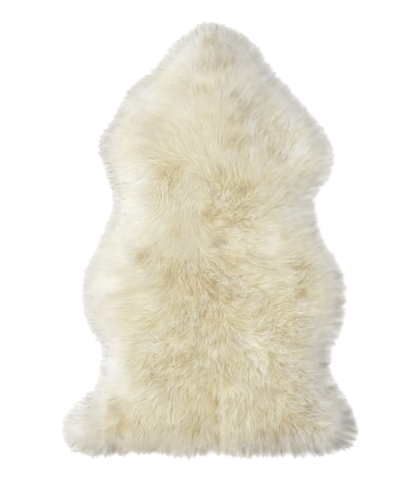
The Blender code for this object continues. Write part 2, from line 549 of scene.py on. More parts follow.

# %% [markdown]
# ## Spots in the wool
#
# More tables place what stands out, as round patches: spots that are only lighter or darker than the
# wool round them, spots that are only yellower or cooler, and those that are both, which are the
# painted shade of straw-coloured hollows and the painted light of pale tufts. All are listed from the
# neck down. A painted picture could hold the same, but rounded numbers can be changed one at a time.

# %% Lighter and darker spots
SHADE_COLUMNS = ("x", "along", "radius", "shade")
SHADE_SPOTS = (
    (-92, 895, 24, 0.05), (15, 890, 42, -0.1), (55, 890, 28, -0.08), (0, 880, 50, -0.05),
    (110, 870, 35, -0.05), (0, 862, 20, -0.03), (-50, 861, 25, -0.04), (-7, 855, 24, -0.04),
    (-37, 853, 22, -0.03), (14, 846, 22, -0.04), (-120, 830, 40, -0.02), (87, 813, 50, -0.05),
    (90, 800, 70, -0.04), (-85, 795, 50, -0.015), (-80, 790, 75, -0.06), (162, 790, 26, 0.05),
    (80, 788, 24, -0.03), (185, 762, 22, 0.04), (-160, 760, 40, -0.02), (-150, 755, 32, -0.06),
    (78, 750, 30, -0.06), (70, 722, 40, -0.08), (225, 722, 28, -0.06), (170, 715, 30, 0.04),
    (130, 708, 24, 0.03), (-230, 700, 34, -0.09), (205, 695, 40, 0.12), (0, 690, 60, -0.03),
    (150, 690, 30, 0.04), (217, 687, 20, -0.04), (20, 680, 80, -0.04), (-228, 670, 22, -0.06),
    (110, 670, 40, -0.03), (-230, 660, 50, -0.03), (188, 648, 26, 0.04), (212, 643, 24, 0.04),
    (236, 640, 26, 0.04), (124, 628, 24, -0.03), (181, 628, 24, 0.04), (-73, 570, 26, -0.03),
    (45, 560, 30, 0.08), (215, 520, 40, 0.03), (36, 519, 16, 0.05), (226, 513, 18, 0.05),
    (0, 512, 16, -0.05), (217, 512, 26, 0.04), (-13, 490, 42, -0.09), (-94, 469, 22, -0.03),
    (24, 463, 15, -0.22), (21, 461, 24, -0.04), (-81, 460, 20, -0.06), (-66, 454, 22, -0.03),
    (-168, 438, 22, -0.04), (211, 438, 18, 0.08), (124, 425, 30, -0.03), (-225, 410, 38, -0.04),
    (276, 403, 20, 0.06), (-182, 395, 24, -0.03), (108, 385, 24, 0.04), (283, 382, 20, 0.04),
    (58, 352, 24, 0.03), (165, 351, 26, 0.09), (-234, 338, 20, -0.04), (90, 335, 36, 0.03),
    (185, 330, 24, 0.04), (150, 325, 26, 0.04), (-226, 323, 20, -0.04), (-140, 320, 26, 0.04),
    (36, 316, 20, 0.05), (152, 307, 22, 0.05), (290, 307, 20, 0.05), (167, 294, 24, 0.08),
    (-130, 285, 45, 0.07), (-7, 264, 25, -0.05), (6, 262, 18, -0.03), (58, 257, 16, -0.1),
    (130, 250, 26, 0.03), (-92, 228, 24, 0.05), (112, 222, 26, 0.08), (248, 222, 32, -0.09),
    (-245, 215, 30, 0.02), (-235, 215, 35, 0.03), (-116, 207, 22, 0.05), (-113, 197, 22, 0.05),
    (80, 177, 22, 0.06), (235, 170, 36, -0.06), (-125, 163, 20, -0.03), (-16, 148, 16, -0.05),
    (-66, 133, 18, -0.03), (-290, 120, 20, 0.08), (-125, 120, 22, 0.06), (-59, 120, 30, -0.03),
    (6, 120, 18, -0.05), (218, 109, 27, -0.12), (-77, 105, 24, 0.05), (298, 105, 22, -0.05),
    (300, 95, 22, -0.05), (-258, 92, 24, -0.12), (-198, 92, 26, -0.06), (62, 90, 24, 0.03),
    (-117, 83, 24, 0.04), (150, 60, 40, -0.05), (167, 39, 22, -0.04), (36, 33, 24, 0.06),
    (-238, 32, 20, 0.06), (94, 17, 22, -0.05),
)

# %% Yellower and cooler spots
WARMTH_COLUMNS = ("x", "along", "radius", "warmth")
WARMTH_SPOTS = (
    (55, 900, 40, 0.05), (-110, 818, 35, 0.12), (-95, 788, 40, 0.06), (22, 759, 80, -0.13),
    (180, 737, 30, 0.06), (93, 730, 22, -0.05), (-37, 660, 30, -0.08), (108, 656, 50, -0.12),
    (-153, 643, 25, 0.06), (205, 620, 45, 0.06), (-7, 600, 24, -0.05), (196, 600, 35, 0.1),
    (-168, 569, 40, 0.07), (203, 562, 30, 0.05), (-197, 512, 22, 0.08), (225, 497, 34, 0.07),
    (-197, 482, 26, 0.06), (152, 468, 30, 0.05), (205, 455, 42, 0.1), (200, 440, 40, 0.04),
    (-262, 400, 30, 0.05), (224, 395, 45, 0.15), (246, 352, 34, 0.07), (246, 323, 28, 0.05),
    (239, 279, 35, 0.06), (-197, 264, 40, 0.07), (98, 257, 40, -0.05), (-197, 250, 24, 0.05),
    (-110, 236, 30, -0.06), (-168, 221, 22, 0.05), (-181, 220, 30, 0.06), (-175, 215, 30, 0.05),
    (167, 164, 36, 0.05), (-132, 134, 30, 0.04), (140, 125, 60, -0.06), (210, 122, 26, 0.09),
    (245, 112, 26, 0.05), (-262, 108, 36, 0.08), (-255, 90, 26, 0.05), (-7, 90, 20, 0.1),
    (138, 84, 40, -0.05), (6, 76, 36, 0.05), (212, 75, 58, -0.18), (235, 46, 36, -0.12),
    (-245, 40, 40, -0.06), (-66, 40, 45, 0.05), (72, 32, 40, 0.05),
)

# %% Painted shade of hollows and painted light of pale tufts
# Hollows here are darker and warmer by painted shade, and pale tufts lighter and cooler by painted light.
SPOT_COLUMNS = ("x", "along", "radius", "shade", "warmth")
SHADED_HOLLOWS_LIT_TUFTS = (
    (-1, 901, 12, -0.16, 0.3), (37, 855, 10, -0.14, 0.28), (-70, 813, 50, -0.05, 0.04),
    (-16, 798, 12, -0.14, 0.24), (52, 787, 11, -0.15, 0.18), (-127, 785, 33, 0.06, -0.1),
    (117, 783, 9, -0.1, 0.18), (69, 763, 13, -0.16, 0.14), (-55, 759, 31, 0.06, -0.08),
    (47, 733, 14, -0.16, 0.18), (167, 733, 20, 0.1, -0.15), (-127, 724, 11, -0.05, 0.12),
    (102, 720, 17, 0.05, -0.08), (-133, 707, 46, -0.17, 0.08), (-160, 695, 70, -0.05, 0.04),
    (58, 694, 13, -0.15, 0.2), (85, 689, 10, -0.15, 0.2), (141, 672, 13, -0.14, 0.2),
    (65, 667, 17, 0.05, -0.1), (191, 667, 22, 0.12, -0.16), (13, 665, 20, 0.08, -0.14),
    (-97, 624, 20, -0.12, 0.28), (119, 611, 15, -0.06, 0.25), (-158, 606, 28, 0.1, -0.15),
    (26, 598, 26, -0.06, 0.28), (71, 591, 13, -0.1, 0.3), (56, 565, 13, -0.08, 0.3),
    (-25, 552, 17, 0.09, -0.1), (-162, 537, 33, 0.1, -0.16), (47, 530, 13, -0.08, 0.25),
    (-16, 521, 9, -0.14, 0.3), (0, 512, 14, -0.05, 0.1), (52, 512, 20, 0.05, -0.04),
    (-73, 493, 17, -0.08, 0.28), (8, 484, 13, -0.12, 0.25), (154, 482, 11, -0.1, 0.22),
    (65, 480, 17, 0.07, -0.12), (128, 462, 22, 0.14, -0.12), (-140, 447, 18, -0.06, 0.25),
    (-197, 427, 31, 0.06, -0.08), (67, 421, 11, -0.12, 0.25), (202, 421, 15, -0.1, 0.2),
    (-77, 403, 20, -0.13, 0.25), (178, 397, 22, 0.07, -0.08), (-27, 388, 20, -0.08, 0.3),
    (10, 379, 13, -0.12, 0.35), (-206, 377, 22, 0.08, -0.1), (87, 366, 26, 0.04, -0.05),
    (207, 364, 13, -0.14, 0.3), (-38, 360, 15, -0.1, 0.28), (34, 345, 13, -0.1, 0.3),
    (-131, 332, 20, 0.05, -0.12), (-185, 325, 32, -0.06, 0.1), (-66, 318, 15, -0.07, 0.25),
    (65, 310, 20, -0.07, 0.28), (-9, 308, 17, -0.08, 0.25), (-131, 288, 15, -0.08, 0.3),
    (102, 262, 22, 0.09, -0.16), (26, 253, 13, -0.1, 0.28), (124, 251, 16, 0.06, -0.08),
    (112, 250, 50, 0.06, -0.06), (-210, 246, 24, 0.03, -0.1), (-110, 236, 15, 0.05, -0.08),
    (15, 231, 15, 0.06, -0.08), (-94, 220, 11, -0.08, 0.25), (115, 205, 15, 0.12, -0.16),
    (-44, 203, 15, -0.1, 0.28), (-210, 188, 22, 0.02, -0.08), (26, 183, 15, -0.08, 0.2),
    (-136, 179, 20, -0.04, 0.22), (141, 153, 17, -0.06, 0.12), (34, 135, 11, 0.09, -0.08),
    (-51, 126, 17, -0.08, 0.25), (-208, 120, 16, -0.06, 0.14), (4, 113, 15, -0.1, 0.28),
    (-215, 105, 22, -0.1, 0.06), (-199, 100, 20, -0.12, 0.26), (152, 87, 22, -0.07, 0.12),
    (-195, 85, 16, -0.04, 0.08), (294, 74, 26, -0.08, -0.14), (-178, 66, 20, -0.08, 0.12),
    (300, 62, 24, -0.14, -0.05), (-240, 60, 50, -0.02, -0.04), (-33, 52, 20, -0.08, 0.18),
    (15, 44, 9, -0.14, 0.25), (146, 44, 17, -0.14, 0.12), (222, 39, 20, -0.13, 0.08),
    (-185, 32, 45, 0.05, -0.02), (-213, 29, 18, 0.03, 0.03), (282, 26, 22, -0.14, -0.12),
    (285, 20, 24, -0.06, -0.05), (-208, 17, 20, -0.12, -0.05),
)


def spot_shade(xy):
    """What the spots add to the shade at each place, with the hollows' painted shade and the tufts' light.
    """
    plain = patch_sum(xy, SHADE_COLUMNS, SHADE_SPOTS, "shade")
    return plain + patch_sum(xy, SPOT_COLUMNS, SHADED_HOLLOWS_LIT_TUFTS, "shade")


def spot_warmth(xy):
    """What the spots add to the warmth at each place, with the hollows' painted shade and the tufts'
    light.
    """
    plain = patch_sum(xy, WARMTH_COLUMNS, WARMTH_SPOTS, "warmth")
    return plain + patch_sum(xy, SPOT_COLUMNS, SHADED_HOLLOWS_LIT_TUFTS, "warmth")


shades = spot_shade(rug_grid)
print("the spots' shades, from", shades.min().round(2), "to", shades.max().round(2))

# %% [markdown]
# ## Creases and partings
#
# Where the skin is folded or the fleece has parted, the wool opens in a line: shaded, so dark and warm
# inside, with a lit pale lip beside it. The clearest is a crease on the left hind leg, and the longest a
# faint parting across the middle. They could be cut into the mesh, but they are so shallow that a change
# of tone tells the same, so their shade and light are painted, each as a line with soft sides.

# %% Painted shade and light of creases and partings
STREAK_COLUMNS = ("x_start", "along_start", "x_end", "along_end", "half_width", "shade", "warmth")
PAINTED_CREASES = (
    (-164, 262, -165, 160, 9, -0.09, 0.14), (-150, 438, 118, 430, 12, -0.05, 0.04),
    (-232, 112, -230, 13, 5, 0.12, -0.16), (-213, 75, -213, 8, 8, -0.05, 0.05),
    (-221, 100, -223, 22, 7, -0.05, 0.08), (-217, 355, -99, 379, 8, -0.13, 0.12),
    (-214, 395, -131, 445, 8, -0.07, 0.08), (159, 421, 211, 414, 5, -0.12, 0.18),
    (126, 305, 204, 366, 7, -0.1, 0.18), (15, 135, 19, 31, 5, -0.12, 0.15),
    (26, 188, 28, 31, 5, 0.08, -0.08), (-27, 602, -14, 484, 7, 0.06, -0.08),
    (87, 231, 126, 179, 5, 0.08, -0.08), (-44, 650, -92, 571, 7, -0.03, 0.12),
)


def painted_crease_sum(xy, name):
    """The creases' painted shade and light: one column's sum at each place. A streak fades out to its
    sides.
    """
    total = np.zeros(len(xy))
    for row in PAINTED_CREASES:
        streak = dict(zip(STREAK_COLUMNS, row))
        start = across_along(streak["x_start"], streak["along_start"])
        way = across_along(streak["x_end"], streak["along_end"]) - start
        share = np.clip((xy - start) @ way / (way @ way), 0, 1)
        off = xy - start - share[:, None] * way
        total += streak[name] * np.exp(-(off**2).sum(1) / (streak["half_width"] * MM) ** 2)
    return total


print("streaks:", len(PAINTED_CREASES))

# %% [markdown]
# ## Hollows between tufts
#
# Everywhere in the curly parts small hollows show between the tufts, with painted shade that makes them
# darker and warmer than their tips, which get a painted highlight.
# They follow noise. Where the wool is brushed smooth, noise that is drawn out along the comb gives soft
# streaks instead, and the same noise moves the sides of the spots, so that none looks like a round blob.
# Together with the tables above this makes two fields for all the wool: how light it is and how yellow.

# %% Tone fields
PLAIN_SHADE = 0.577
PLAIN_WARMTH = 0.62
BRUSH_STEPS = 7
BRUSH_STEP = 2.2 * MM
SPOT_STRAY = 5.5 * MM  # how far the spots' sides stray from a round shape
SPOT_STRENGTH = 1.2  # the spots' shades are raised by this
CALM_SHADE = -0.025  # calm wool is toned down a little, since its broad strands catch more light


def brushed_noise(xy, cell, seed):
    """Noise drawn out along the comb, which gives soft streaks. Its spread is 1."""
    total = soft_noise(xy, cell, seed)
    for way in (-1, 1):
        at = xy
        for _ in range(BRUSH_STEPS):
            at = at + way * BRUSH_STEP * comb(at)
            total = total + soft_noise(at, cell, seed)
    return total / total.std()


def tone_fields():
    """The shade and the warmth of the wool, from the plain tone, noise, spots, streaks and the edge."""
    # Painted shade in small hollows and painted highlights on crests where the wool curls, and wide clouds
    # everywhere.
    grain = 0.6 * soft_noise(flat_grid, 0.014, 14) + 0.4 * soft_noise(flat_grid, 0.0075, 15)
    curl = curl_of(flat_grid)
    hollow_shade, crest_light = smooth((grain - 0.1) / 0.5) * curl, smooth((-0.1 - grain) / 0.5) * curl
    cloud = soft_noise(flat_grid, 0.03, 11)
    # The spots, with their sides moved by noise, and the streaks.
    stray = [brushed_noise(flat_grid, 0.012, 21), brushed_noise(flat_grid, 0.012, 22)]
    strayed = flat_grid + SPOT_STRAY * np.column_stack(stray)
    shade = PLAIN_SHADE + SPOT_STRENGTH * spot_shade(strayed) + painted_crease_sum(flat_grid, "shade")
    shade += 0.05 * cloud - 0.16 * hollow_shade + 0.10 * crest_light
    warmth = PLAIN_WARMTH + spot_warmth(strayed) + painted_crease_sum(flat_grid, "warmth")
    warmth += 0.10 * soft_noise(flat_grid, 0.045, 12) + 0.30 * hollow_shade - 0.12 * crest_light
    shade += edge_painted_shade(flat_grid) + CALM_SHADE * calm_of(flat_grid)
    warmth += edge_painted_warmth(flat_grid)
    # Soft streaks where the wool is brushed, livelier at the right and the rump, and a band of them along
    # the edge, which is painted shade and light between the tufts, strongest where it faces away from the
    # lamp.
    near_edge = np.exp(-(((depth_of(flat_grid) - 10 * MM) / (12 * MM)) ** 2))
    away_from_lamp = np.clip(0.35 + way_out(flat_grid) @ np.array([0.7, -0.7]), 0, 1)
    brushed = brushed_noise(flat_grid, 0.0055, 16)
    lively = 0.14 + 0.86 * smooth((flat_grid[:, 0] + 90 * MM) / (180 * MM))
    lively += 0.5 * smooth((80 * MM - LENGTH / 2 - flat_grid[:, 1]) / (60 * MM))
    shade += 0.045 * lively * (1 - curl) * (1 - near_edge) * brushed
    shade += near_edge * ((0.02 + 0.09 * away_from_lamp) * brushed + 0.12 * away_from_lamp * soft_noise(flat_grid, 0.03, 17))
    return on_grid(shade), on_grid(warmth)


shade_of, warmth_of = tone_fields()
print("shade:", np.percentile(shade_of(outline), [5, 50, 95]).round(2), "at the outline")

# %% [markdown]
# ## The wool's material
#
# One material serves all the wool. Each piece carries a small colour chart as its UV map: across it runs
# the shade, from deep beige to white, and up it the warmth. So every vertex can have its own tone, and
# the roughness follows the shade. Sheen gives the soft bright rim of fine fibres. Light also goes
# through thin wool, so a part of the shader is translucent. A material for each tone would need dozens.

# %% Wool material
CHART = "OFBake"
ROUGH_DEEP = 0.8
ROUGH_PALE = 0.6
SHEEN = 0.15
THROUGH = 0.3  # the share of the light that goes through
# Columns: shade, red, green, blue.
COOL_WOOL = (
    (0, 0.51, 0.49, 0.455), (0.35, 0.73, 0.72, 0.69), (0.65, 0.865, 0.86, 0.84),
    (1, 0.965, 0.965, 0.955),
)
WARM_WOOL = (
    (0, 0.56, 0.43, 0.235), (0.35, 0.755, 0.665, 0.42), (0.65, 0.87, 0.81, 0.565), (1, 0.96, 0.93, 0.77),
)


def node_of(nodes, kind, place, **inputs):
    """A new node of this kind, with these inputs set. An underscore stands for a space in a name."""
    node = nodes.new("ShaderNode" + kind)
    node.location = place
    for name, value in inputs.items():
        node.inputs[name.replace("_", " ")].default_value = value
    return node


def ramp(nodes, rows, place):
    """A colour ramp node with these stops."""
    node = node_of(nodes, "ValToRGB", place)
    elements = node.color_ramp.elements
    while len(elements) < len(rows):
        elements.new(0.5)
    for element, (at, *colour) in zip(elements, rows):
        element.position = at
        element.color = (*colour, 1.0)
    return node


def wool_material():
    """The one material of all the wool, with its tone read from the colour chart."""
    material = bpy.data.materials.new("wool")
    material.use_nodes = True
    nodes, links = material.node_tree.nodes, material.node_tree.links
    shader = nodes["Principled BSDF"]
    chart = node_of(nodes, "UVMap", (-900, 0))
    chart.uv_map = CHART
    split = node_of(nodes, "SeparateXYZ", (-720, 0))
    cool = ramp(nodes, COOL_WOOL, (-520, 200))
    warm = ramp(nodes, WARM_WOOL, (-520, -60))
    mix = node_of(nodes, "Mix", (-200, 100))
    mix.data_type = "RGBA"
    rough = node_of(nodes, "MapRange", (-520, -320), To_Min=ROUGH_DEEP, To_Max=ROUGH_PALE)
    through = node_of(nodes, "BsdfTranslucent", (0, -400))
    both = node_of(nodes, "MixShader", (320, 0), Fac=THROUGH)
    links.new(chart.outputs["UV"], split.inputs["Vector"])
    for node in (cool, warm):
        links.new(split.outputs["X"], node.inputs["Fac"])
    links.new(split.outputs["Y"], mix.inputs["Factor"])
    links.new(cool.outputs["Color"], mix.inputs["A"])
    links.new(warm.outputs["Color"], mix.inputs["B"])
    links.new(mix.outputs["Result"], shader.inputs["Base Color"])
    links.new(split.outputs["X"], rough.inputs["Value"])
    links.new(rough.outputs["Result"], shader.inputs["Roughness"])
    shader.inputs["Sheen Weight"].default_value = SHEEN
    shader.inputs["Sheen Roughness"].default_value = 0.5
    shader.inputs["Specular IOR Level"].default_value = 0.25
    links.new(mix.outputs["Result"], through.inputs["Color"])
    links.new(shader.outputs["BSDF"], both.inputs[1])
    links.new(through.outputs["BSDF"], both.inputs[2])
    links.new(both.outputs["Shader"], nodes["Material Output"].inputs["Surface"])
    return material


wool = wool_material()
print("wool material:", len(wool.node_tree.nodes), "nodes")

# %% [markdown]
# ## Where the wisps start
#
# A wisp is a handful of strands that lie together. On the plain the wisps start from a jittered grid,
# closer together where the surface slopes. Round the rim, where seen from above they would crowd
# together, they start in rows, from under the lip up to the edge of the plain. A hair system would
# scatter them by chance, which leaves bare spots and clumps, and a jittered grid leaves none.

# %% Starts of the wisps
WISP_SPACING = 3.65 * MM
CROWDING = 1.3  # the grid is finer than the spacing by this, and places are then left out
PLAIN_DEPTH = 26 * MM  # the plain's wisps start further in than this
RIM_ANGLES = np.radians(np.linspace(-44, 46, 15))  # the rows round the rim, from under the lip up
PLAIN_JITTER = 0.42  # in steps of the grid, each way
RIM_JITTER = 0.45
ROW_JITTER = 0.07  # radians


def plain_starts():
    """Where wisps start on the plain."""
    low, high = outline.min(0), outline.max(0)
    step = WISP_SPACING / CROWDING
    nx, ny = np.ceil((high - low) / step).astype(int)
    i, j = np.meshgrid(np.arange(nx), np.arange(ny), indexing="ij")
    xy = np.stack([i + 0.5 * (j % 2), j], -1).reshape(-1, 2) * step + low
    xy += rng.uniform(-PLAIN_JITTER, PLAIN_JITTER, xy.shape) * step
    share = np.clip(1 - depth_of(xy) / ROLL_CENTRE, 0, 1)
    slope = (FELT_OVER / FELT_RADIUS) * share / np.sqrt(1 - np.minimum(share, 0.9) ** 2)
    wanted = np.sqrt(1 + slope**2) / CROWDING**2
    kept = (depth_of(xy) > PLAIN_DEPTH) & (rng.uniform(0, 1, len(xy)) < wanted)
    return np.column_stack([xy, np.full(len(xy), FLEECE_HEIGHT)])[kept]


def rim_starts():
    """Where wisps start round the rim, row by row."""
    rows = []
    for angle in RIM_ANGLES:
        ring, _ = spaced_ring(outline, int(girth / WISP_SPACING))
        ring = ring + rng.uniform(-RIM_JITTER, RIM_JITTER, ring.shape) * WISP_SPACING
        turn = angle + rng.uniform(-ROW_JITTER, ROW_JITTER, len(ring))
        inset = ROLL_CENTRE - (FELT_RADIUS - set_back(ring)) * np.cos(turn)
        z = LIP_HEIGHT + np.sin(turn) * np.where(turn > 0, FELT_OVER, FELT_UNDER)
        rows.append(np.column_stack([ring + way_out(ring) * (depth_of(ring) - inset)[:, None], z]))
    return np.vstack(rows)


from_plain, from_rim = plain_starts(), rim_starts()
starts = np.vstack([from_plain, from_rim])
wisps = len(starts)
print("wisps:", wisps, "of which on the rim:", len(from_rim))

# %% [markdown]
# ## Locks
#
# Wisps gather in locks, which lean the same way and leave a small valley to the next lock. A lock is a
# random centre, one in each cell of a coarse grid, and each wisp belongs to the nearest one. So only the
# nine cells round a wisp have to be looked at, and no search through all the locks is needed.

# %% Gather the wisps in locks
LOCK_CELL = 16 * MM
LOCK_CELLS = 120  # cells each way, with the rug's middle in the middle


def nearest_lock(xy):
    """The centre of the lock that each place belongs to, and a number for it."""
    centres = np.random.default_rng(3).uniform(0.1, 0.9, (LOCK_CELLS, LOCK_CELLS, 2))
    cell = np.floor(xy / LOCK_CELL).astype(int) + LOCK_CELLS // 2
    best, centre, number = np.full(len(xy), 9.0), np.zeros_like(xy), np.zeros(len(xy), int)
    for di in (-1, 0, 1):
        for dj in (-1, 0, 1):
            i, j = (cell + (di, dj)).T
            here = (np.stack([i, j], 1) - LOCK_CELLS // 2 + centres[i, j]) * LOCK_CELL
            off = ((xy - here) ** 2).sum(1)
            closer = off < best
            best[closer] = off[closer]
            centre[closer] = here[closer]
            number[closer] = (i * LOCK_CELLS + j)[closer]
    return centre, number


start_xy = starts[:, :2]
lock_xy, lock = nearest_lock(start_xy)
# Each lock has its own turn, height, shade, warmth and phase of its waves, from -1 to 1.
lock_values = np.random.default_rng(5).uniform(-1, 1, (5, LOCK_CELLS**2))[:, lock]
lock_turn, lock_rise, lock_shade, lock_warmth, lock_phase = lock_values
curliness = curl_of(start_xy)
crisp = np.minimum(2 * curliness**2, 1)
calm = calm_of(start_xy)
print("locks:", len(np.unique(lock)))

# %% [markdown]
# ## Let the wisps grow
#
# A wisp grows in small steps along the comb, like a boat on a stream. On the way it swings from side to
# side where the wool curls, it keeps to its layer over the roll of the edge, and it climbs from the felt
# up to the tips, which lie on top of the wisps in front. Near the lip it leaves the roll and hangs out
# over it. The wisps of a lock draw a little together on the way. A simulation of falling hair would be
# slow and hard to steer, and steps along a field are quick and go where the comb says.

# %% Grow the wisps
STEPS = 22
STEP = 1.9 * MM
TIP_RISE = 7.0 * MM
LEAST_RISE, MOST_RISE = 1.0 * MM, 8.5 * MM
SPOT_STEP, SPOT_RISE = 0.12, 2.0 * MM  # wool that a spot makes lighter by the first rises by the second
ROOT_DEPTH = 0.0005  # the wisps start this far under the felt's surface
LOW_START = 0.012  # wisps that start less than this over the lip run out flatter
WAVE_LENGTH = 20 * MM
WAVE_RISE = 0.8 * MM
FLOOR_REST = 1.2 * MM  # the wool's lowest points lie this far over the floor


def grow():
    """The corners of all the wisps' paths, and the fleece's normal at each corner."""
    xy, z, normal, out = layer(start_xy, starts[:, 2], np.full(wisps, -ROOT_DEPTH))
    own_turn = (0.05 + 0.50 * curliness) * lock_turn
    own_turn = own_turn + rng.normal(0, 1, wisps) * (0.13 + 0.05 * curliness)
    swing_by = (0.2 * curliness + 0.65 * crisp) * (0.8 + 0.4 * rng.uniform(-1, 1, wisps)) + 0.02
    phase = 2 * math.pi * (xy * comb(xy)).sum(1) / WAVE_LENGTH + 0.9 * lock_phase
    by_lock = (0.05 + 0.10 * curliness) * lock_rise
    by_chance = (0.03 + 0.29 * curliness) * rng.uniform(-1, 1, wisps)
    top = TIP_RISE * (0.42 + 0.2 * np.minimum(2 * curliness, 1) + by_lock + by_chance)
    top = np.clip(top + SPOT_RISE * spot_shade(xy) / SPOT_STEP, LEAST_RISE, MOST_RISE)
    low_flat, high_flat = rng.uniform(0.86, 0.99, wisps), rng.uniform(0.66, 0.9, wisps)
    flattest = np.where(z < LIP_HEIGHT + LOW_START, low_flat, high_flat)
    # One step along the comb at a time, for all the wisps at once.
    path, normals = np.zeros((2, wisps, STEPS + 1, 3))
    path[:, 0], normals[:, 0] = np.column_stack([xy, z]), normal
    for k in range(1, STEPS + 1):
        gone = k / STEPS
        wave = 2 * math.pi * k * STEP / WAVE_LENGTH + phase
        ahead = turned(comb(xy), own_turn + swing_by * np.sin(wave))
        outwards = (ahead * out).sum(1)
        beside = ahead - out * outwards[:, None]
        over = np.maximum(normal[:, 2], flattest)
        down = np.sqrt(1 - over**2) * (depth_of(xy) < ROLL_CENTRE)
        xy = xy + STEP * (out * (over * outwards)[:, None] + beside)
        z = np.maximum(z - STEP * down * outwards, FLOOR_REST)
        above = top * (0.2 + 0.8 * smooth(gone * 1.15)) - 0.001
        above += WAVE_RISE * curliness * np.cos(wave)
        xy, z, normal, out = layer(xy, z, above)
        z = np.maximum(z, FLOOR_REST)
        path[:, k], normals[:, k] = np.column_stack([xy, z]), normal
    return path, normals


path, path_normal = grow()
across_flow = turned(comb(start_xy), np.full(wisps, math.pi / 2))
lock_aside = ((lock_xy - start_xy) * across_flow).sum(1)
gather = (0.08 + 0.5 * curliness)[:, None] * smooth(np.linspace(0, 1, STEPS + 1))[None]
path[:, :, :2] += across_flow[:, None] * (lock_aside[:, None] * gather)[:, :, None]
depth_along = depth_of(path.reshape(-1, 3)[:, :2]).reshape(wisps, -1)
print("wisps that pass the outline:", int((depth_along[:, -1] < 0).sum()))

# %% [markdown]
# ## Tufts round the rim
#
# At the outline the wool ends in pointed tufts with gaps between them, long ones along the rump edge and
# short ones at the sides, apart from a few places where the sides are spiky too. A tuft is a place on
# the outline. The wisps that come out near it are drawn to its middle line, and those at its sides end
# sooner, each at its own limit outside the outline. In the long tufts the strands run right up to that
# limit, so that the points are sharp. Cutting the finished wool along a toothed line would look like
# scissor work, and this way every strand keeps its tip.

# %% Tufts
OUTLINE_STEP = 3 * MM
TUFT_SPACING = 8 * MM
TUFT_DEPTH = 24 * MM  # wisps gather from this far inside the outline on
LEAST_HALF = 2.5 * MM  # the half width of the narrowest tuft
SEARCH_PARTS = 40  # all the wisps at once would take too much memory
# Where the tips reach further than the body's outline, or less far. reach: mm.
REACH_COLUMNS = ("x", "along", "radius", "reach")
REACHES = (
    (-22, 938, 30, 6), (50, 915, 45, 6), (-95, 905, 30, 6), (-66, 890, 45, 7), (118, 880, 30, 3),
    (-164, 807, 55, 9), (-190, 780, 40, 4), (247, 728, 40, 7), (-234, 715, 45, 4), (-234, 700, 40, 3),
    (-225, 640, 50, 2), (261, 617, 45, 14), (-215, 590, 40, 9), (255, 570, 35, 3), (235, 500, 50, -2),
    (-225, 497, 50, 8), (-245, 445, 40, 2), (285, 388, 25, -3), (-270, 385, 50, 5), (-269, 366, 60, 2),
    (-266, 330, 25, 3), (300, 330, 30, 2), (-270, 300, 25, 4), (-266, 279, 35, 10), (278, 214, 25, 2),
    (-244, 206, 28, 2), (278, 165, 30, -5), (294, 148, 45, 4), (-258, 140, 25, 4), (-284, 116, 38, 20),
    (315, 100, 40, 6), (302, 32, 24, 9), (-310, 30, 25, 3), (-295, 28, 25, 15), (286, 2, 26, -9),
    (-235, 0, 30, -2), (-153, 0, 50, -8), (-120, 0, 30, -5), (-40, 0, 26, 4), (10, 0, 35, -9),
    (87, 0, 22, 6), (210, 0, 30, -2), (262, 0, 25, 2),
)
# Where the tufts at the sides are long and pointed. spiky: 0 to 1.
SPIKE_COLUMNS = ("x", "along", "radius", "spiky")
SPIKES = (
    (-160, 792, 50, 1), (-235, 705, 38, 0.9), (-240, 490, 30, 0.5), (285, 372, 35, 0.7),
    (262, 440, 35, 0.4), (300, 120, 45, 0.5),
)
fine_ring, _ = spaced_ring(outline, int(girth / OUTLINE_STEP))


def tuft_middles():
    """The numbers of the outline points that are tufts' middles: at uneven gaps, wider at the rump."""
    down = np.clip(-way_out(fine_ring)[:, 1], 0, 1)
    place = np.cumsum(1 / (1 + 0.6 * down))
    gaps = 0.55 + rng.exponential(0.45, int(place[-1] * OUTLINE_STEP / TUFT_SPACING))
    return np.unique(np.searchsorted(place[:-1], np.cumsum(gaps) / gaps.sum() * place[-1]))


def nearest_number(xy):
    """The number of the outline point that is nearest to each place."""
    found = []
    for part in np.array_split(xy, SEARCH_PARTS):
        found.append(((fine_ring[None] - part[:, None]) ** 2).sum(2).argmin(1))
    return np.concatenate(found)


middles = tuft_middles()
at_ring = nearest_number(path[:, -1, :2])
gap = np.abs(at_ring[:, None] - middles[None])
gap = np.minimum(gap, len(fine_ring) - gap)
tuft = gap.argmin(1)
tuft_half = (np.roll(middles, -1) - np.roll(middles, 1)) % len(fine_ring) * OUTLINE_STEP / 4
tuft_half = np.maximum(tuft_half, LEAST_HALF)[tuft]
tuft_xy = fine_ring[middles[tuft]]
tuft_out, tuft_way = way_out(tuft_xy), comb(tuft_xy)
tuft_side = np.column_stack([-tuft_way[:, 1], tuft_way[:, 0]])
tuft_long, tuft_lean = np.random.default_rng(9).uniform(-1, 1, (2, len(middles)))[:, tuft]
facing_down, facing_up = np.clip(-tuft_out[:, 1], 0, 1), np.clip(tuft_out[:, 1], 0, 1)
facing_right, facing_left = np.clip(tuft_out[:, 0], 0, 1), np.clip(-tuft_out[:, 0], 0, 1)
spiky = np.clip(patch_sum(tuft_xy, SPIKE_COLUMNS, SPIKES, "spiky"), 0, 1)
print("tufts:", len(middles), "of which spiky:", len(np.unique(tuft[spiky > 0.5])))

# %% Draw the wisps into tufts
# What a tuft does, and what is added to it where it faces one way or is spiky. drawn: the share of the
# way to its middle line. tooth, the length of its point, reach and lean: mm.
FACING_COLUMNS = ("all", "down", "up", "right", "left", "spiky")
DRAWN = (0.25, 0.6, 0.35, 0.15, -0.12, 0.35)
TOOTH = (3.0, 8.0, 3.5, 1.5, 0, 6.0)
REACH = (6.4, 0.8, 0.4, 1.0, 1.8, -1.0)
LEAN = (4.0, 0, 0, -1.2, -2.8, 0)
facing = dict(zip(FACING_COLUMNS, (1, facing_down, facing_up, facing_right, facing_left, spiky)))


